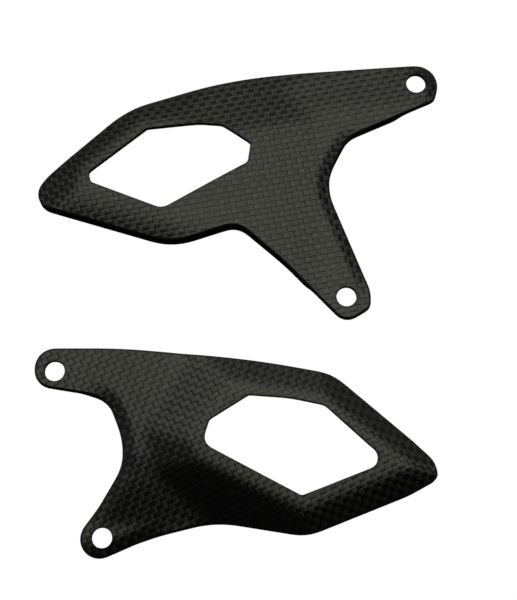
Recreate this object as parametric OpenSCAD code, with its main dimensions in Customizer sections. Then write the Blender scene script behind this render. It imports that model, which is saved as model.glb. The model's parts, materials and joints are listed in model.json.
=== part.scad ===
// Pair of moulded carbon-fibre heel guards for a motorcycle foot-peg bracket.
// Each guard is a shallow tray: a raised pad around one window, two bolted arms, and a
// turned-down rim. It is laid up from four plies, and every ply is a solid of its own.
// The pair lies face up and side by side, and stands on its rims at z = 0.

/* [Laminate] */
// Thickness of the plain-weave face ply
face_ply_t = 0.3; // [0.2:0.05:0.6]
// Thickness of each of the two heavy core plies
core_ply_t = 1.0; // [0.6:0.1:1.2]
// Thickness of the back ply
back_ply_t = 0.3; // [0.2:0.05:0.6]

/* [Right guard] */
// Height of the right guard's pad
right_pad_z = 8.5; // [8:0.1:10]
// Height of the right guard's arms
right_arm_z = 5.9; // [5.5:0.1:6.5]

/* [Left guard] */
// Height of the left guard's pad
left_pad_z = 9.6; // [9.2:0.1:11]
// Height of the left guard's upper arm
left_arm_z = 7.4; // [7.2:0.1:8]
// Height of the left guard's lower tab
left_tab_z = 4.7; // [4:0.1:4.8]

/* [Bolt holes] */
// Radius of the bolt holes, M6 coarse clearance
bolt_hole_r = 3.5; // [3.2:0.05:3.6]
// Radius around each hole within which the rim is left off, to clear the screw's seat
rim_gap_r = 12; // [11.5:0.5:14]

/* [Rim] */
// Height above the rim's edge at which the face, inner and back plies are trimmed
trim_gap = 0.2; // [0.1:0.05:0.5]

/* [Smoothness] */
// Longest straight step along a rounded edge
edge_step = 3; // [2:1:5]
// Largest turn between two straight steps of a rounded edge, in degrees
edge_turn = 9; // [6:1:12]

/* [Hidden] */

// Depths of the ply boundaries below the outer surface
outer_core_d = face_ply_t;
inner_core_d = outer_core_d + core_ply_t;
back_d = inner_core_d + core_ply_t;
laminate_t = back_d + back_ply_t;

// Shift that puts the middle of the pair over the origin
pair_shift = [-0.927, -2.365];

// Half the side of the blocks that stand for "everything under this facet"
reach = 250;
// Height of the prisms that the facets cut
prism_h = 20;

weave_black = [0.17, 0.17, 0.16];
core_black = [0.10, 0.10, 0.10];
back_black = [0.13, 0.13, 0.13];

// Outlines and windows: the corners in order, each as [x, y, rounding radius]
right_outline = [
  [-67, 48, 17],
  [-39, 72.5, 38],
  [2, 85.5, 174],
  [74, 90.5, 7.5],
  [70.5, 76.5, 1.8],
  [39.5, 63, 9],
  [31, 46.5, 18],
  [47, 7.5, 9],
  [47, 1.5, 2.5],
  [38, -4, 5.5],
  [17, 17.5, 87],
  [0.5, 31.5, 7.5],
  [-22.5, 24, 24.5],
  [-73.5, 39, 5.7]
];
right_window = [
  [-52, 49.5, 1],
  [-51, 46, 0.8],
  [-26, 36.5, 5],
  [4, 53.5, 1.5],
  [5, 60.5, 1],
  [-5, 67, 3.5],
  [-13, 67.5, 20],
  [-31.5, 65.5, 1]
];
right_holes = [[64, 83], [38.5, 5.5]];

left_outline = [
  [-69.5, -13, 7],
  [-39.5, -13, 210],
  [6.5, -17, 314],
  [33.5, -22, 17.5],
  [60.5, -45, 28],
  [68, -52, 7],
  [69.5, -58, 2.5],
  [59.5, -63.5, 28],
  [24.5, -77.5, 17.5],
  [-7, -72.5, 38],
  [-29, -78, 70],
  [-53, -88.5, 6.5],
  [-53, -76, 7],
  [-47, -68, 35],
  [-38.5, -53.5, 16],
  [-39, -44, 28],
  [-44.5, -30, 10],
  [-69.5, -26, 6]
];
left_window = [
  [4.5, -29.5, 1],
  [18.5, -30.5, 52],
  [30.5, -33, 5],
  [46.5, -47.5, 10],
  [53, -52, 4],
  [29, -61.5, 9],
  [22.5, -64, 1],
  [-11.5, -46, 4.5],
  [-9, -38, 2]
];
left_holes = [[-62.5, -21], [-45.5, -78]];

// How far a surface has fallen at the start of step i of a bend
function fallen(run, tilts, i) = i == 0 ? 0 : fallen(run, tilts, i - 1) + run * tan(tilts[i - 1]);

// A surface that bends down in steps: one facet for each tilt, every one run further along
function bend(x, y, z, heading, run, tilts) = [
  for (i = [0:len(tilts) - 1])
  [x + i * run * cos(heading), y + i * run * sin(heading), z - fallen(run, tilts, i), heading, tilts[i]]
];

// Facets: [x, y, z of a point on the facet, heading of its fall, tilt], both in degrees.
// A heading of 0 falls towards +X and 90 towards +Y.
right_pad = [
  [0, 60, right_pad_z, 0, 0],
  [-55.5, 46.5, right_pad_z, 165, 10],
  [-43.8, 60.2, right_pad_z, 129, 12],
  [-18, 69.5, right_pad_z, 95, 10],
  [-3, 61, right_pad_z, 66, 7],
  [-7.5, 58, right_pad_z, 0, 4],
  each bend(-37.5, 38.5, right_pad_z, -106, 3, [3, 5.5, 9])
];
right_arms = [
  [40, 50, right_arm_z, 0, 0],
  [17, 76, right_arm_z, 112, 7],
  [40, 73.5, right_arm_z, 94, 3.5]
];
left_pad = [
  [20, -50, left_pad_z, 0, 0],
  [17, -28, left_pad_z, 82, 13],
  [41.5, -39, left_pad_z, 51, 17],
  [39, -63.5, left_pad_z, -68, 15],
  [2.8, -59.8, left_pad_z, -116, 16],
  [-16, -45.5, left_pad_z, -150, 10],
  [-15.5, -42, left_pad_z, 180, 7.5],
  [-6, -31, left_pad_z, 145, 7.5]
];
left_arms = [
  [-40, -40, left_arm_z, 0, 0],
  [-8, -24, left_arm_z, 60, 11],
  each bend(-33.5, -49.5, left_arm_z, -90, 10.5, [5.2, 7.5])
];
left_tab = [
  [-45.5, -78, left_tab_z, 0, 0]
];

right_regions = [right_pad, right_arms];
left_regions = [left_pad, left_arms, left_tab];

function unit(v) = v / norm(v);

// The points of the arc that rounds corner p, which lies between corners a and b
function corner_arc(a, p, b) =
  let (
    tip = [p[0], p[1]],
    u = unit([a[0], a[1]] - tip),
    v = unit([b[0], b[1]] - tip),
    half = acos(u * v) / 2,
    centre = tip + unit(u + v) * p[2] / sin(half),
    from = tip + u * p[2] / tan(half) - centre,
    to = tip + v * p[2] / tan(half) - centre,
    start = atan2(from[1], from[0]),
    turn = (atan2(to[1], to[0]) - start + 540) % 360 - 180,
    steps = ceil(max(abs(turn) / edge_turn, abs(turn) * PI / 180 * p[2] / edge_step))
  )
  [for (i = [0:steps]) centre + p[2] * [cos(start + turn * i / steps), sin(start + turn * i / steps)]];

function rounded(corners) =
  let (n = len(corners))
  [for (i = [0:n - 1]) each corner_arc(corners[(i + n - 1) % n], corners[i], corners[(i + 1) % n])];

// Everything below one facet, lowered by depth
module below(facet, depth) {
  translate([facet[0], facet[1], facet[2] - depth])
    rotate([0, facet[4], facet[3]])
      translate([-reach, -reach, -reach])
        cube([2 * reach, 2 * reach, reach]);
}

// Everything below all of a list of facets, lowered by depth
module below_all(facets, depth) {
  intersection_for (facet = facets) below(facet, depth);
}

// An upright prism that lies inside the outline by depth. The tabs around the bolt holes
// have no rim, so they are not drawn in.
module column(outline, holes, depth) {
  linear_extrude(prism_h) offset(delta = -depth) polygon(rounded(outline));
  intersection() {
    linear_extrude(prism_h) polygon(rounded(outline));
    for (hole = holes) translate(hole) cylinder(r = rim_gap_r, h = prism_h, $fn = 96);
  }
}

// The filled form that lies inside the outer surface by depth. Each region of the surface
// is a list of facets, and the highest region shows.
module form(outline, holes, regions, depth) {
  intersection() {
    column(outline, holes, depth);
    union() {
      for (region = regions) below_all(region, depth);
    }
  }
}

// One ply of a guard, from depth to depth + thickness, trimmed at height trim_z, with the
// window and the bolt holes cut
module ply(outline, window, holes, regions, depth, thickness, trim_z) {
  difference() {
    form(outline, holes, regions, depth);
    form(outline, holes, regions, depth + thickness);
    translate([-reach, -reach, -1]) cube([2 * reach, 2 * reach, 1 + trim_z]);
    translate([0, 0, -1]) linear_extrude(prism_h) polygon(rounded(window));
    for (hole = holes) translate([hole[0], hole[1], -1]) cylinder(r = bolt_hole_r, h = prism_h, $fn = 64);
  }
}

module right_ply(depth, thickness, trim_z) {
  translate(pair_shift) ply(right_outline, right_window, right_holes, right_regions, depth, thickness, trim_z);
}

module left_ply(depth, thickness, trim_z) {
  translate(pair_shift) ply(left_outline, left_window, left_holes, left_regions, depth, thickness, trim_z);
}

module right_face_ply() {
  color(weave_black) right_ply(0, face_ply_t, trim_gap);
}

// The outer core ply carries the rim's lower edge, so it alone reaches z = 0
module right_outer_core_ply() {
  color(core_black) right_ply(outer_core_d, core_ply_t, 0);
}

module right_inner_core_ply() {
  color(core_black) right_ply(inner_core_d, core_ply_t, trim_gap);
}

module right_back_ply() {
  color(back_black) right_ply(back_d, back_ply_t, trim_gap);
}

module left_face_ply() {
  color(weave_black) left_ply(0, face_ply_t, trim_gap);
}

module left_outer_core_ply() {
  color(core_black) left_ply(outer_core_d, core_ply_t, 0);
}

module left_inner_core_ply() {
  color(core_black) left_ply(inner_core_d, core_ply_t, trim_gap);
}

module left_back_ply() {
  color(back_black) left_ply(back_d, back_ply_t, trim_gap);
}

right_face_ply();
right_outer_core_ply();
right_inner_core_ply();
right_back_ply();
left_face_ply();
left_outer_core_ply();
left_inner_core_ply();
left_back_ply();
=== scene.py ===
"""Looks of a pair of carbon-fibre heel guards.

Each ply of the CAD laminate is replaced by a smooth shell: the CAD surface with its creases
rounded, its outer edge rolled over into the rim, and a fine trimmed edge at the window and at
the bolt holes. The face ply carries a woven carbon-fibre material.
"""

import json
import math

import bmesh
import bpy
import numpy as np
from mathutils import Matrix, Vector, geometry
from mathutils.bvhtree import BVHTree


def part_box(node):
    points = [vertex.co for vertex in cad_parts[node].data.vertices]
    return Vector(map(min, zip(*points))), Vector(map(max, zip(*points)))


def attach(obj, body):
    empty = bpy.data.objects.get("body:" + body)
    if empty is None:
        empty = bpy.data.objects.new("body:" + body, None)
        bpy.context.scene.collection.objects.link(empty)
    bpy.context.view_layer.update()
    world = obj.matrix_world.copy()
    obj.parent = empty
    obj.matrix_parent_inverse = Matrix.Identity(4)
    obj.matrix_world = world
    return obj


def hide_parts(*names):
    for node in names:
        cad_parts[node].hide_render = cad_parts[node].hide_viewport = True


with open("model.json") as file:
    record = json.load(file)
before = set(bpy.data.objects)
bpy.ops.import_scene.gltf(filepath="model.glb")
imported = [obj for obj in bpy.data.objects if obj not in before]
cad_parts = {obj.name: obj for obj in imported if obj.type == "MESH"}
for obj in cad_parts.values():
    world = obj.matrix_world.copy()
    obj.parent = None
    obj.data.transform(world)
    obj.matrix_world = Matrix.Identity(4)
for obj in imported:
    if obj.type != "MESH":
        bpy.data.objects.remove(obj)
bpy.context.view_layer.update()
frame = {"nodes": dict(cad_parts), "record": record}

MM = 0.001

# The plies, outermost first, and the record's material slot for each
PLIES = (
    ("face_ply", "carbon_face"),
    ("outer_core_ply", "carbon_core"),
    ("inner_core_ply", "carbon_core"),
    ("back_ply", "carbon_back"),
)
# Each guard: the way its two arms point along X, the heading of its weave in degrees, and
# the heading that the bevel at the end of its outer tab faces
GUARDS = {"right": (1, 11.0, 20.0), "left": (-1, 26.0, -75.0)}

# Spacings of the samples and of the mesh
LOOP_STEP = 0.8 * MM  # between the points along every edge
LOOP_LEAST = 48  # fewest points along an edge
GRID_STEP = 0.5 * MM  # between the samples of the CAD surface
GRID_MARGIN = 3 * MM  # how far the samples reach past the outline
FINE = 0.9 * MM  # between mesh points where the face is seen
BACK_SPACING = 1.4 * MM  # between mesh points on the underside
COARSE = 3.0 * MM  # between mesh points where two plies meet
# Least gap from the border to a mesh point, as a share of the spacing, which counts as at
# most CLEARANCE_STEPS times the border's own
MESH_CLEARANCE = 0.55
CLEARANCE_STEPS = 1.6

# Blurs that round what the CAD draws straight or flat
OUTLINE_BLUR = 0.9 * MM
WINDOW_BLUR = 0.35 * MM
CREASE_BLUR = 1.7 * MM

# The outer edge: the roll from the face into the rim, and the rim
ROLL_WIDTH = 0.7 * MM  # how far in from the edge the outer surface starts to roll over
ROLL_DROP = 0.8 * MM  # how far the roll falls before the rim turns vertical
ROLL_LEAST = 0.12 * MM  # width and drop that the roll keeps on the inmost surfaces
ROLL_TURNS = (0, 15, 30, 45, 60, 75, 90)
ROLL_TURNS_COARSE = (0, 45, 90)
RIM_LEAST = 0.05 * MM  # height of the rim where it is left off, beside a bolt hole
RIM_PARTS = (0.33, 0.66, 1.0)
SEAT_NEAR = 11 * MM  # the rim has gone this near a bolt hole
SEAT_FAR = 16 * MM  # and is full height this far away

# The bevel along parts of the outer edge
BEVEL_WIDTH = 4.3 * MM
BEVEL_SLOPE = math.tan(math.radians(12))
BEVEL_SOFTNESS = 0.5 * MM  # rounds the line where the bevel starts
BEVEL_SPREAD = 5  # blur of its ends along the edge, in points
BEVEL_FACING = (0.3, 0.8)  # how squarely an edge faces the bevel's heading: none, and all of it
NOTCH_FADE = (6 * MM, 11 * MM)  # between the arms, it fades out this near a bolt hole
END_FADE = (16 * MM, 24 * MM)  # at a tab's end, it fades out this far from the bolt hole

# The trimmed edges at the window and the bolt holes
EDGE_ROUND = 0.15 * MM
EDGE_TURNS = (0, 45, 90)

SHARP_ANGLE = math.radians(38)  # edges that turn more than this are shaded as sharp

# The weave of the face ply
TOW_PITCH = 2.0 * MM
TOW_WANDER = 0.7 * MM  # how far the cloth is pulled out of line
TOW_DIVE = 0.05 * MM  # fall of a tow's ends where it dives under its neighbours
TOW_CROWN = 0.018 * MM  # rise of a tow across its width
FIBRE_RELIEF = 0.01 * MM
PEEL_RELIEF = 0.004 * MM  # orange peel of the clear coat
COAT_FOLLOWS = 0.22  # share of the tows' relief that shows in the clear coat
GAP_FROM = 0.46  # the dark line between two tows starts this far from a tow's middle, in tows

# The cut edge of the laminate
LAYER_PITCH = 0.25 * MM
LAYER_WANDER = 0.12 * MM
GLUE_SHARE = 0.28  # share of a layer's thickness that is glue
GLUE_RELIEF = 0.01 * MM
SANDED_RELIEF = 0.02 * MM

# The peel-ply print on the underside
PRINT_PITCH = 0.7 * MM
PRINT_RELIEF = 0.02 * MM
GRAIN_RELIEF = 0.03 * MM

# Lamps: name, angles north and east of straight up, width and height in metres, radiance,
# colour. The walls of light are low all round, for whoever looks from the side.
LAMP_DISTANCE = 2.0
WALL = (4.0, 0.7)
WALL_WHITE = (1.0, 1.0, 0.97)
LAMPS = (
    ("key_softbox", 15.2, 1.4, (1.28, 0.81), 1.83, (1.0, 1.02, 0.86)),
    ("north_softbox", 56, 0, (3.0, 1.1), 0.36, (1.0, 1.0, 0.96)),
    ("west_softbox", 8, -38, (0.5, 1.1), 0.4, (0.88, 0.94, 1.05)),
    ("north_wall", 75, 0, WALL, 0.45, WALL_WHITE),
    ("east_wall", 0, 75, WALL, 0.45, WALL_WHITE),
    ("south_wall", -75, 0, WALL, 0.12, WALL_WHITE),
    ("west_wall", 0, -75, WALL, 0.45, WALL_WHITE),
)
WORLD_FILL = 0.003

FLOOR_REACH = 4.0
FLOOR_GAP = 0.2 * MM  # keeps the floor just clear of the rims

CAMERA_TARGET = Vector((6.9, 2.0, 5.0)) * MM
CAMERA_ELEVATION = math.radians(79)
CAMERA_DISTANCE = 0.65
SENSOR_WIDTH = 36  # millimetres, as is the focal length
FOCAL_LENGTH = 111.9


# ---------------------------------------------------------------- the CAD surface


def smoothstep(low, high, value):
    t = np.clip((value - low) / (high - low), 0, 1)
    return t * t * (3 - 2 * t)


def gaussian(sigma, reach):
    return np.exp(-0.5 * (np.arange(-reach, reach + 1) / sigma) ** 2)


def blur_loop(values, sigma, reach):
    """Gaussian blur of the values along a closed loop; sigma and reach in points."""
    taps = gaussian(sigma, reach)
    taps /= taps.sum()
    return sum(t * np.roll(values, k, 0) for t, k in zip(taps, range(-reach, reach + 1)))


def nearest_gap(points, others):
    """The distance from each point to the nearest of the others."""
    parts = np.array_split(points, len(points) // 500 + 1)
    gaps = [np.linalg.norm(part[:, None] - others[None], axis=2).min(1) for part in parts]
    return np.concatenate(gaps)


def top_of(node):
    """The upward faces of a CAD node, as a BVH tree and as boundary loops, longest first."""
    bm = bmesh.new()
    bm.from_mesh(frame["nodes"][node].data)
    bmesh.ops.remove_doubles(bm, verts=bm.verts, dist=1e-6)
    bm.normal_update()
    bmesh.ops.delete(bm, geom=[f for f in bm.faces if f.normal.z < 0.5], context="FACES")
    tree = BVHTree.FromBMesh(bm)
    after = {}
    for edge in bm.edges:
        if len(edge.link_faces) == 1:
            loop = edge.link_loops[0]
            after[loop.vert] = loop.link_loop_next.vert
    loops = []
    while after:
        start, vert = after.popitem()
        loop = [start.co.xy[:]]
        while vert != start:
            loop.append(vert.co.xy[:])
            vert = after.pop(vert)
        loops.append(np.array(loop))
    bm.free()
    loops.sort(key=lambda p: -np.linalg.norm(p - np.roll(p, 1, 0), axis=1).sum())
    return tree, loops


def blur_axis(field, sigma, axis):
    """Gaussian blur of a 2D field along one axis; sigma in samples."""
    reach = int(4 * sigma)
    pad = [(0, 0), (0, 0)]
    pad[axis] = (reach, reach)
    wide = np.pad(field, pad)
    size = field.shape[axis]
    total = np.zeros_like(field)
    for i, tap in enumerate(gaussian(sigma, reach)):
        total += tap * np.take(wide, range(i, i + size), axis)
    return total


class Surface:
    """The CAD surface's height with its creases rounded, also a little way past its edges.

    Each height comes from a plane fitted to the samples around it, so a flat facet stays
    exactly where it is, right up to the edge.
    """

    def __init__(self, tree, low, high):
        low, high = low - GRID_MARGIN, high + GRID_MARGIN
        xs = np.arange(low[0], high[0], GRID_STEP)
        ys = np.arange(low[1], high[1], GRID_STEP)
        z = np.zeros((len(xs), len(ys)))
        hit = np.zeros_like(z)
        down = Vector((0, 0, -1))
        for i, x in enumerate(xs):
            for j, y in enumerate(ys):
                place = tree.ray_cast(Vector((x, y, 1)), down)[0]
                if place is not None:
                    z[i, j] = place.z
                    hit[i, j] = 1
        gx, gy = np.meshgrid((xs - xs[0]) / MM, (ys - ys[0]) / MM, indexing="ij")

        def total(field):
            sigma = CREASE_BLUR / GRID_STEP
            return blur_axis(blur_axis(hit * field, sigma, 0), sigma, 1)

        one = np.ones_like(z)
        w, wx, wy = total(one), total(gx), total(gy)
        wxx, wxy, wyy = total(gx * gx), total(gx * gy), total(gy * gy)
        wz, wzx, wzy = total(z), total(z * gx), total(z * gy)
        known = w > 1e-3
        w1 = np.where(known, w, 1)
        mx, my, mz = wx / w1, wy / w1, wz / w1
        cxx = wxx / w1 - mx * mx + 1e-6
        cxy = wxy / w1 - mx * my
        cyy = wyy / w1 - my * my + 1e-6
        cxz = wzx / w1 - mz * mx
        cyz = wzy / w1 - mz * my
        det = cxx * cyy - cxy * cxy
        slope_x = (cxz * cyy - cyz * cxy) / det
        slope_y = (cyz * cxx - cxz * cxy) / det
        self.z = np.where(known, mz + slope_x * (gx - mx) + slope_y * (gy - my), 0)
        self.x0, self.y0 = xs[0], ys[0]

    def height(self, points):
        fx = (points[:, 0] - self.x0) / GRID_STEP
        fy = (points[:, 1] - self.y0) / GRID_STEP
        ix, iy = fx.astype(int), fy.astype(int)
        tx, ty = fx - ix, fy - iy
        z = self.z
        near = z[ix, iy] * (1 - ty) + z[ix, iy + 1] * ty
        far = z[ix + 1, iy] * (1 - ty) + z[ix + 1, iy + 1] * ty
        return near * (1 - tx) + far * tx

    def bevel(self, points, strength):
        """Slopes the surface down towards the points of an edge, by strength from 0 to 1."""
        keep = strength > 0.01
        points, strength = points[keep], strength[keep]
        xs = self.x0 + GRID_STEP * np.arange(self.z.shape[0])
        ys = self.y0 + GRID_STEP * np.arange(self.z.shape[1])
        low, high = points.min(0) - BEVEL_WIDTH * 2, points.max(0) + BEVEL_WIDTH * 2
        for i in np.flatnonzero((xs > low[0]) & (xs < high[0])):
            for j in np.flatnonzero((ys > low[1]) & (ys < high[1])):
                gap = np.hypot(points[:, 0] - xs[i], points[:, 1] - ys[j])
                near = gap.argmin()
                inside = BEVEL_WIDTH - gap[near]
                soft = 0.5 * (inside + math.hypot(inside, BEVEL_SOFTNESS))
                self.z[i, j] -= strength[near] * BEVEL_SLOPE * soft


# ---------------------------------------------------------------- edges


class Edge:
    """A closed edge as evenly spaced points, with unit normals that point into the material."""

    def __init__(self, loop, blur, outer):
        ahead = np.roll(loop, -1, 0)
        length = np.linalg.norm(ahead - loop, axis=1)
        total = length.sum()
        count = max(int(total / LOOP_STEP), LOOP_LEAST)
        along = np.concatenate([[0], np.cumsum(length)])
        closed = np.vstack([loop, loop[:1]])
        at = np.arange(count) * total / count
        points = np.stack([np.interp(at, along, closed[:, k]) for k in (0, 1)], 1)
        if blur:
            sigma = blur / (total / count)
            points = blur_loop(points, sigma, int(4 * sigma) + 1)
        step = np.roll(points, -1, 0) - np.roll(points, 1, 0)
        step /= np.linalg.norm(step, axis=1)[:, None]
        x, y = points[:, 0], points[:, 1]
        area = (x * np.roll(y, -1) - y * np.roll(x, -1)).sum()
        side = 1 if (area > 0) == outer else -1
        self.points = points
        self.inward = side * np.stack([-step[:, 1], step[:, 0]], 1)

    def inset(self, distance):
        """The edge moved into the material, without the folds that a tight corner makes."""
        distance = np.broadcast_to(distance, len(self.points))
        moved = self.points + self.inward * distance[:, None]
        good = np.flatnonzero(nearest_gap(moved, self.points) >= 0.98 * distance)
        every, period = np.arange(len(moved)), len(moved)
        return np.stack([np.interp(every, good, moved[good, k], period=period) for k in (0, 1)], 1)


class Guard:
    """One guard's surface and edges, read from its CAD face ply."""

    def __init__(self, side):
        self.side = side
        tree, loops = top_of(side + "_face_ply")
        low, high = loops[0].min(0), loops[0].max(0)
        self.surface = Surface(tree, low, high)
        self.outline = Edge(loops[0], OUTLINE_BLUR, True)
        self.window = Edge(loops[1], WINDOW_BLUR, False)
        self.holes = [Edge(loop, 0, False) for loop in loops[2:]]
        bores = [m for m in frame["record"]["mounts"]
                 if m["kind"] == "bore" and m["name"].startswith(side)]
        self.laminate = bores[0]["dims"]["length_mm"] * MM
        seats = np.array([m["pos_m"][:2] for m in bores])
        points = self.outline.points
        away = nearest_gap(points, seats)
        top = self.surface.height(points)
        rim = smoothstep(SEAT_NEAR, SEAT_FAR, away)
        self.rim_z = (top - self.laminate) * (1 - rim)
        bevel = np.maximum(self.notch_bevel(seats, away), self.end_bevel(seats))
        self.surface.bevel(points, blur_loop(bevel, BEVEL_SPREAD, 3 * BEVEL_SPREAD))

    def notch_bevel(self, seats, away):
        """1 where the edge between the arms is bevelled; away is the distance from a bolt hole."""
        arms = GUARDS[self.side][0]
        y = self.outline.points[:, 1]
        between = (y > seats[:, 1].min()) & (y < seats[:, 1].max())
        facing = smoothstep(*BEVEL_FACING, -self.outline.inward[:, 0] * arms)
        return facing * between * smoothstep(*NOTCH_FADE, away)

    def end_bevel(self, seats):
        """1 where the end of the outer tab is bevelled."""
        heading = math.radians(GUARDS[self.side][2])
        toward = np.array([math.cos(heading), math.sin(heading)])
        outer_seat = seats[np.abs(seats[:, 1]).argmax()]
        from_seat = np.linalg.norm(self.outline.points - outer_seat, axis=1)
        facing = smoothstep(*BEVEL_FACING, -self.outline.inward @ toward)
        return facing * (1 - smoothstep(*END_FADE, from_seat))


# ---------------------------------------------------------------- shells


class Shell:
    """A mesh under construction: points, faces, weave coordinates and edge wear."""

    def __init__(self):
        self.points, self.uv, self.wear, self.faces = [], [], [], []

    def add(self, points, z, uv, wear=0.0):
        first = len(self.points)
        count = len(points)
        self.points += np.column_stack([points, np.broadcast_to(z, count)]).tolist()
        self.uv += np.asarray(uv).tolist()
        self.wear += np.broadcast_to(wear, count).tolist()
        return list(range(first, first + count))

    def strip(self, a, b, flip):
        for i in range(len(a)):
            j = (i + 1) % len(a)
            quad = (a[i], a[j], b[j], b[i])
            self.faces.append(quad[::-1] if flip else quad)

    def bands(self, rings, flip):
        for a, b in zip(rings, rings[1:]):
            self.strip(a, b, flip)

    def fill(self, guard, loops, spacing, depth, flip):
        """Triangles between an outer loop and the loops inside it."""
        rim = [np.array([self.points[i][:2] for i in loop]) for loop in loops]
        low, high = rim[0].min(0), rim[0].max(0)
        rows = np.arange(low[1], high[1], spacing * 0.866)
        cols = np.arange(low[0], high[0], spacing)
        x, y = np.meshgrid(cols, rows)
        x = x + (np.arange(len(rows)) % 2)[:, None] * spacing / 2
        inner = np.column_stack([x.ravel(), y.ravel()])
        inner = inner[self.inside(inner, rim)]
        border = np.vstack(rim)
        clearance = MESH_CLEARANCE * min(spacing, CLEARANCE_STEPS * LOOP_STEP)
        inner = inner[nearest_gap(inner, border) > clearance]
        index = [i for loop in loops for i in loop]
        index += self.add(inner, guard.surface.height(inner) - depth, inner)
        everything = np.vstack([border, inner])
        edges, start = [], 0
        for loop in loops:
            n = len(loop)
            edges += [(start + i, start + (i + 1) % n) for i in range(n)]
            start += n
        coords = [Vector(p) for p in everything.tolist()]
        out = geometry.delaunay_2d_cdt(coords, edges, [], 0, 1e-9)
        placed = np.array([v[:] for v in out[0]])
        source = [int(np.linalg.norm(everything - p, axis=1).argmin()) for p in placed]
        triangles = np.array(out[2])
        centres = placed[triangles].mean(1)
        for triangle in triangles[self.inside(centres, rim)]:
            face = [index[source[k]] for k in triangle]
            if len(set(face)) == 3:
                self.faces.append(face[::-1] if flip else face)

    @staticmethod
    def inside(points, loops):
        """True for points inside an odd number of the loops."""
        odd = np.zeros(len(points), bool)
        x, y = points[:, 0], points[:, 1]
        for loop in loops:
            for (x1, y1), (x2, y2) in zip(loop, np.roll(loop, -1, 0)):
                if y1 == y2:
                    continue
                crosses = (y1 > y) != (y2 > y)
                odd ^= crosses & (x < (x2 - x1) * (y - y1) / (y2 - y1) + x1)
        return odd

    def mesh(self, name):
        mesh = bpy.data.meshes.new(name)
        mesh.from_pydata(self.points, [], self.faces)
        mesh.update()
        corners = np.zeros(len(mesh.loops), np.int32)
        mesh.loops.foreach_get("vertex_index", corners)
        layer = mesh.uv_layers.new(name="weave")
        layer.data.foreach_set("uv", np.array(self.uv, np.float32)[corners].ravel())
        wear = mesh.attributes.new("wear", "FLOAT", "POINT")
        wear.data.foreach_set("value", np.array(self.wear, np.float32))
        mesh.polygons.foreach_set("use_smooth", [True] * len(mesh.polygons))
        mesh.set_sharp_from_angle(angle=SHARP_ANGLE)
        return mesh


def lay_surface(shell, guard, depth, spacing, rounding, floor_z, down):
    """One face of a ply, at a depth below the guard's outer surface.

    Returns the loops at the rim's edge, the window and the holes. down is True for the
    face that looks inwards.
    """
    height = guard.surface.height
    width = max(ROLL_WIDTH - depth, ROLL_LEAST)
    drop = max(ROLL_DROP - depth, ROLL_LEAST)
    edge = guard.outline
    inner = edge.inset(depth + width)
    uv, previous, rings = inner, None, []
    for turn in ROLL_TURNS if spacing < COARSE else ROLL_TURNS_COARSE:
        angle = math.radians(turn)
        place = edge.inset(depth + width * (1 - math.sin(angle)))
        z = height(place) - depth - drop * (1 - math.cos(angle))
        here = np.column_stack([place, z])
        if previous is not None:
            uv = uv - edge.inward * np.linalg.norm(here - previous, axis=1)[:, None]
        rings.append(shell.add(place, z, uv))
        previous = here
    bottom = np.maximum(guard.rim_z, floor_z)
    bottom = np.minimum(bottom, z - RIM_LEAST)
    for part in RIM_PARTS:
        level = z + (bottom - z) * part
        drape = uv - edge.inward * (z - level)[:, None]
        rings.append(shell.add(place, level, drape, 1.0 if part == 1 else 0.0))
    shell.bands(rings, down)
    insides, ends = [], [rings[-1]]
    for cut in [guard.window] + guard.holes:
        cut_rings = []
        for turn in EDGE_TURNS if rounding else EDGE_TURNS[-1:]:
            angle = math.radians(turn)
            place = cut.inset(rounding * (1 - math.sin(angle)))
            z = height(place) - depth - rounding * (1 - math.cos(angle))
            cut_rings.append(shell.add(place, z, place, 1.0))
        shell.bands(cut_rings, down)
        insides.append(cut_rings[0])
        ends.append(cut_rings[-1])
    shell.fill(guard, [rings[0]] + insides, spacing, depth, down)
    return ends


def ply_piece(guard, ply, depth, thickness, material):
    """The shell of one ply, in place of its CAD node."""
    node = f"{guard.side}_{ply}"
    floor_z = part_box(node)[0].z
    outer_spacing, rounding = (FINE, EDGE_ROUND) if ply == "face_ply" else (COARSE, 0)
    inner_spacing = BACK_SPACING if ply == "back_ply" else COARSE
    shell = Shell()
    outer = lay_surface(shell, guard, depth, outer_spacing, rounding, floor_z, False)
    inner = lay_surface(shell, guard, depth + thickness, inner_spacing, 0, floor_z, True)
    for a, b in zip(outer, inner):
        shell.strip(a, b, False)
    mesh = shell.mesh(node + "_shell")
    bm = bmesh.new()
    bm.from_mesh(mesh)
    bmesh.ops.recalc_face_normals(bm, faces=bm.faces)
    bm.to_mesh(mesh)
    bm.free()
    piece = bpy.data.objects.new(node + "_shell", mesh)
    bpy.context.scene.collection.objects.link(piece)
    mesh.materials.append(material)
    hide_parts(node)
    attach(piece, guard.side + "_guard")


# ---------------------------------------------------------------- materials


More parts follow.
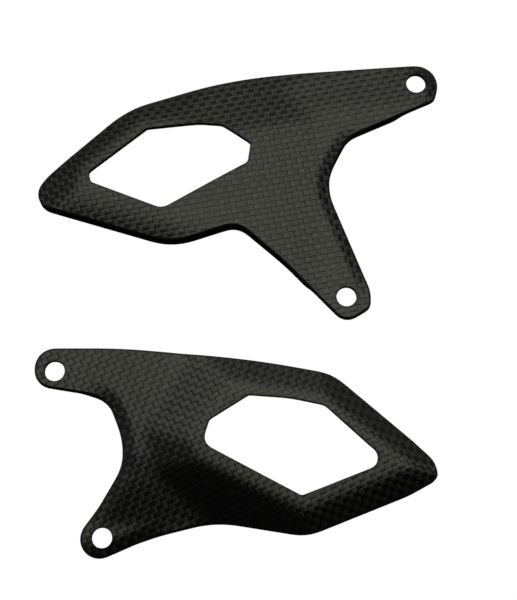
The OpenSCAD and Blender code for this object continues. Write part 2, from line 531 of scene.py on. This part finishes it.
class Graph:
    """A material's node graph, with a short way to write sums."""

    def __init__(self, name):
        self.material = bpy.data.materials.new(name)
        self.material.use_nodes = True
        self.tree = self.material.node_tree
        self.bsdf = self.tree.nodes["Principled BSDF"]

    def node(self, kind, **settings):
        made = self.tree.nodes.new(kind)
        for key, value in settings.items():
            setattr(made, key, value)
        return made

    def put(self, socket, value):
        if isinstance(value, bpy.types.NodeSocket):
            self.tree.links.new(value, socket)
        else:
            socket.default_value = value

    def math(self, operation, *values):
        made = self.node("ShaderNodeMath", operation=operation)
        for socket, value in zip(made.inputs, values):
            self.put(socket, value)
        return made.outputs[0]

    def mix(self, factor, a, b):
        return self.math("ADD", a, self.math("MULTIPLY", factor, self.math("SUBTRACT", b, a)))

    def vector(self, operation, *values):
        made = self.node("ShaderNodeVectorMath", operation=operation)
        for socket, value in zip(made.inputs, values):
            self.put(socket, value)
        return made.outputs[0]

    def scaled(self, vector, factor):
        made = self.node("ShaderNodeVectorMath", operation="SCALE")
        self.put(made.inputs[0], vector)
        self.put(made.inputs["Scale"], factor)
        return made.outputs[0]

    def noise(self, vector, scale, detail=2.0):
        made = self.node("ShaderNodeTexNoise")
        self.put(made.inputs["Vector"], vector)
        made.inputs["Scale"].default_value = scale
        made.inputs["Detail"].default_value = detail
        return made

    def bump(self, height):
        """A surface normal from a height in metres."""
        made = self.node("ShaderNodeBump")
        made.inputs["Strength"].default_value = 1.0
        made.inputs["Distance"].default_value = 1.0
        self.put(made.inputs["Height"], height)
        return made.outputs[0]

    def attribute(self, name):
        return self.node("ShaderNodeAttribute", attribute_name=name).outputs["Fac"]

    def set(self, **values):
        for name, value in values.items():
            self.put(self.bsdf.inputs[name.replace("_", " ")], value)


def weave_material(side, heading):
    """Plain-weave carbon fibre under a matt clear coat.

    Each crossing shows as a pillow: the upper tow is crowned across its width and dives
    under its neighbours at both ends. The sheen follows the fibres.
    """
    g = Graph(f"carbon_weave_{side}")
    uv = g.node("ShaderNodeUVMap", uv_map="weave").outputs[0]
    drift = g.noise(uv, 45.0, 1.0).outputs["Color"]
    drift = g.scaled(g.vector("SUBTRACT", drift, (0.5, 0.5, 0.5)), TOW_WANDER)
    turned = g.node("ShaderNodeVectorRotate", rotation_type="Z_AXIS")
    g.put(turned.inputs["Vector"], g.vector("ADD", uv, drift))
    turned.inputs["Angle"].default_value = -math.radians(heading)
    tows = g.node("ShaderNodeSeparateXYZ")
    g.put(tows.inputs[0], g.scaled(turned.outputs[0], 1 / TOW_PITCH))
    u, v = tows.outputs[0], tows.outputs[1]
    column, row = g.math("FLOOR", u), g.math("FLOOR", v)
    fu = g.math("SUBTRACT", g.math("SUBTRACT", u, column), 0.5)
    fv = g.math("SUBTRACT", g.math("SUBTRACT", v, row), 0.5)
    half = g.math("MULTIPLY", g.math("ADD", column, row), 0.5)
    weft = g.math("GREATER_THAN", g.math("FRACT", half), 0.25)
    across, along = g.mix(weft, fu, fv), g.mix(weft, fv, fu)

    def arch(t, steepness):
        """1 along the middle of a tow, falling to 0 at t = +-0.5, mostly near there."""
        far = g.math("POWER", g.math("ABSOLUTE", g.math("MULTIPLY", t, 2.0)), steepness)
        return g.math("SUBTRACT", 1.0, far)

    crown, dive = arch(across, 4.0), arch(along, 3.0)
    strand = g.node("ShaderNodeCombineXYZ")
    g.put(strand.inputs[0], g.math("MULTIPLY", across, 9.0))
    g.put(strand.inputs[1], g.math("MULTIPLY", along, 0.8))
    g.put(strand.inputs[2], g.mix(weft, column, g.math("ADD", row, 37.0)))
    fibres = g.noise(strand.outputs[0], 1.6, 3.0).outputs["Fac"]
    pillow = g.math("ADD", g.math("MULTIPLY", dive, TOW_DIVE),
                    g.math("MULTIPLY", crown, TOW_CROWN))
    height = g.math("ADD", pillow, g.math("MULTIPLY", fibres, FIBRE_RELIEF))

    tow = g.node("ShaderNodeTexWhiteNoise", noise_dimensions="1D")
    g.put(tow.inputs["W"], g.mix(weft, column, g.math("ADD", row, 91.0)))
    vary = g.math("SUBTRACT", tow.outputs["Value"], 0.5)
    gap = g.math("GREATER_THAN", g.math("ABSOLUTE", across), GAP_FROM)
    wear = g.attribute("wear")
    shine = g.math("ADD", 0.5, g.math("MULTIPLY", vary, 0.12))
    shine = g.math("MULTIPLY", shine, g.math("SUBTRACT", 1.0, g.math("MULTIPLY", gap, 0.1)))
    peel = g.noise(uv, 900.0, 2.0).outputs["Fac"]
    coat_height = g.math("ADD", g.math("MULTIPLY", pillow, COAT_FOLLOWS),
                         g.math("MULTIPLY", peel, PEEL_RELIEF))
    tint = g.node("ShaderNodeMix", data_type="RGBA")
    g.put(tint.inputs["Factor"], fibres)
    tint.inputs["A"].default_value = (0.0006, 0.0006, 0.0005, 1)
    tint.inputs["B"].default_value = (0.002, 0.002, 0.0018, 1)
    tangent = g.node("ShaderNodeTangent", direction_type="UV_MAP", uv_map="weave")
    g.set(
        Base_Color=tint.outputs["Result"],
        Roughness=g.math("ADD", 0.27, g.math("MULTIPLY", wear, 0.12)),
        Specular_IOR_Level=shine,
        Anisotropic=0.86,
        Anisotropic_Rotation=g.math("ADD", heading / 360, g.math("MULTIPLY", weft, 0.25)),
        Tangent=tangent.outputs[0],
        Normal=g.bump(height),
        Coat_Weight=0.35,
        Coat_Roughness=0.36,
        Coat_Normal=g.bump(coat_height),
    )
    return g.material


def core_material():
    """The cut and sanded edge of the laminate: thin dark layers with a little glue between."""
    g = Graph("carbon_core")
    place = g.node("ShaderNodeTexCoord").outputs["Object"]
    axes = g.node("ShaderNodeSeparateXYZ")
    g.put(axes.inputs[0], place)
    wander = g.math("MULTIPLY", g.noise(place, 160.0).outputs["Fac"], LAYER_WANDER)
    level = g.math("ADD", axes.outputs[2], wander)
    layer = g.math("FRACT", g.math("DIVIDE", level, LAYER_PITCH))
    line = g.math("LESS_THAN", layer, GLUE_SHARE)
    grain = g.noise(place, 2600.0, 3.0).outputs["Fac"]
    tint = g.node("ShaderNodeMix", data_type="RGBA")
    g.put(tint.inputs["Factor"], g.math("MULTIPLY", line, grain))
    tint.inputs["A"].default_value = (0.004, 0.004, 0.004, 1)
    tint.inputs["B"].default_value = (0.016, 0.016, 0.015, 1)
    height = g.math("ADD", g.math("MULTIPLY", line, GLUE_RELIEF),
                    g.math("MULTIPLY", grain, SANDED_RELIEF))
    g.set(Base_Color=tint.outputs["Result"], Roughness=0.6, Specular_IOR_Level=0.35,
          Normal=g.bump(height))
    return g.material


def back_material():
    """The underside, left rough by the peel ply: a fine woven print over faint tows."""
    g = Graph("carbon_back")
    uv = g.node("ShaderNodeUVMap", uv_map="weave").outputs[0]
    axes = g.node("ShaderNodeSeparateXYZ")
    g.put(axes.inputs[0], g.scaled(uv, 2 * math.pi / PRINT_PITCH))
    fine = g.math("MULTIPLY", g.math("SINE", axes.outputs[0]), g.math("SINE", axes.outputs[1]))
    blotch = g.noise(uv, 120.0, 4.0).outputs["Fac"]
    grain = g.noise(uv, 3000.0, 2.0).outputs["Fac"]
    height = g.math("ADD", g.math("MULTIPLY", fine, PRINT_RELIEF),
                    g.math("MULTIPLY", grain, GRAIN_RELIEF))
    tint = g.node("ShaderNodeMix", data_type="RGBA")
    g.put(tint.inputs["Factor"], blotch)
    tint.inputs["A"].default_value = (0.008, 0.008, 0.008, 1)
    tint.inputs["B"].default_value = (0.022, 0.022, 0.021, 1)
    g.set(Base_Color=tint.outputs["Result"], Roughness=0.62, Specular_IOR_Level=0.4,
          Normal=g.bump(height))
    return g.material


# ---------------------------------------------------------------- light, floor and camera


def softbox(name, north, east, size, radiance, colour):
    """A rectangular lamp that faces the pair; north and east are its angles from straight up."""
    data = bpy.data.lights.new(name, "AREA")
    data.shape = "RECTANGLE"
    data.size, data.size_y = size
    data.energy = radiance * math.pi * size[0] * size[1]
    data.color = colour
    lamp = bpy.data.objects.new(name, data)
    way = Vector((math.tan(math.radians(east)), math.tan(math.radians(north)), 1)).normalized()
    lamp.location = way * LAMP_DISTANCE
    lamp.rotation_mode = "QUATERNION"
    lamp.rotation_quaternion = way.to_track_quat("Z", "Y")
    bpy.context.scene.collection.objects.link(lamp)


def white_floor():
    """A plain white floor that lights nothing, so the pair stands in an empty white field."""
    mesh = bpy.data.meshes.new("floor")
    reach = FLOOR_REACH
    corners = [(-reach, -reach, 0), (reach, -reach, 0), (reach, reach, 0), (-reach, reach, 0)]
    mesh.from_pydata(corners, [], [(0, 1, 2, 3)])
    floor = bpy.data.objects.new("floor", mesh)
    floor.location.z = -FLOOR_GAP
    floor.visible_glossy = False
    floor.visible_diffuse = False
    bpy.context.scene.collection.objects.link(floor)
    paper = Graph("white_paper")
    glow = paper.node("ShaderNodeEmission")
    glow.inputs["Color"].default_value = (1, 1, 1, 1)
    out = paper.tree.nodes["Material Output"]
    paper.tree.links.new(glow.outputs[0], out.inputs["Surface"])
    mesh.materials.append(paper.material)


def white_world():
    """A world that the camera sees as white, and that lights the pair only a little."""
    world = bpy.data.worlds.new("studio")
    bpy.context.scene.world = world
    world.use_nodes = True
    nodes, links = world.node_tree.nodes, world.node_tree.links
    seen = nodes.new("ShaderNodeBackground")
    seen.inputs["Color"].default_value = (1, 1, 1, 1)
    path = nodes.new("ShaderNodeLightPath")
    choose = nodes.new("ShaderNodeMixShader")
    fill = nodes["Background"]
    fill.inputs["Color"].default_value = (WORLD_FILL, WORLD_FILL, WORLD_FILL, 1)
    links.new(path.outputs["Is Camera Ray"], choose.inputs["Fac"])
    links.new(fill.outputs[0], choose.inputs[1])
    links.new(seen.outputs[0], choose.inputs[2])
    links.new(choose.outputs[0], nodes["World Output"].inputs["Surface"])


def camera():
    """Above the pair and a little to its near side, far enough away to be almost flat."""
    back = Vector((0, -math.cos(CAMERA_ELEVATION), math.sin(CAMERA_ELEVATION)))
    data = bpy.data.cameras.new("camera")
    data.sensor_width = SENSOR_WIDTH
    data.lens = FOCAL_LENGTH
    data.clip_start, data.clip_end = 0.01, 20
    made = bpy.data.objects.new("camera", data)
    made.location = CAMERA_TARGET + back * CAMERA_DISTANCE
    made.rotation_mode = "QUATERNION"
    made.rotation_quaternion = back.to_track_quat("Z", "Y")
    bpy.context.scene.collection.objects.link(made)
    bpy.context.scene.camera = made


# ---------------------------------------------------------------- build


def build():
    core, back = core_material(), back_material()
    for side, (_, heading, _) in GUARDS.items():
        guard = Guard(side)
        tops = [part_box(f"{side}_{ply}")[1].z for ply, _ in PLIES]
        depths = [tops[0] - top for top in tops] + [guard.laminate]
        skins = (weave_material(side, heading), core, core, back)
        for i, (ply, slot) in enumerate(PLIES):
            ply_piece(guard, ply, depths[i], depths[i + 1] - depths[i], skins[i])


build()
for lamp in LAMPS:
    softbox(*lamp)
white_floor()
white_world()
camera()
bpy.context.scene.view_settings.view_transform = "Standard"
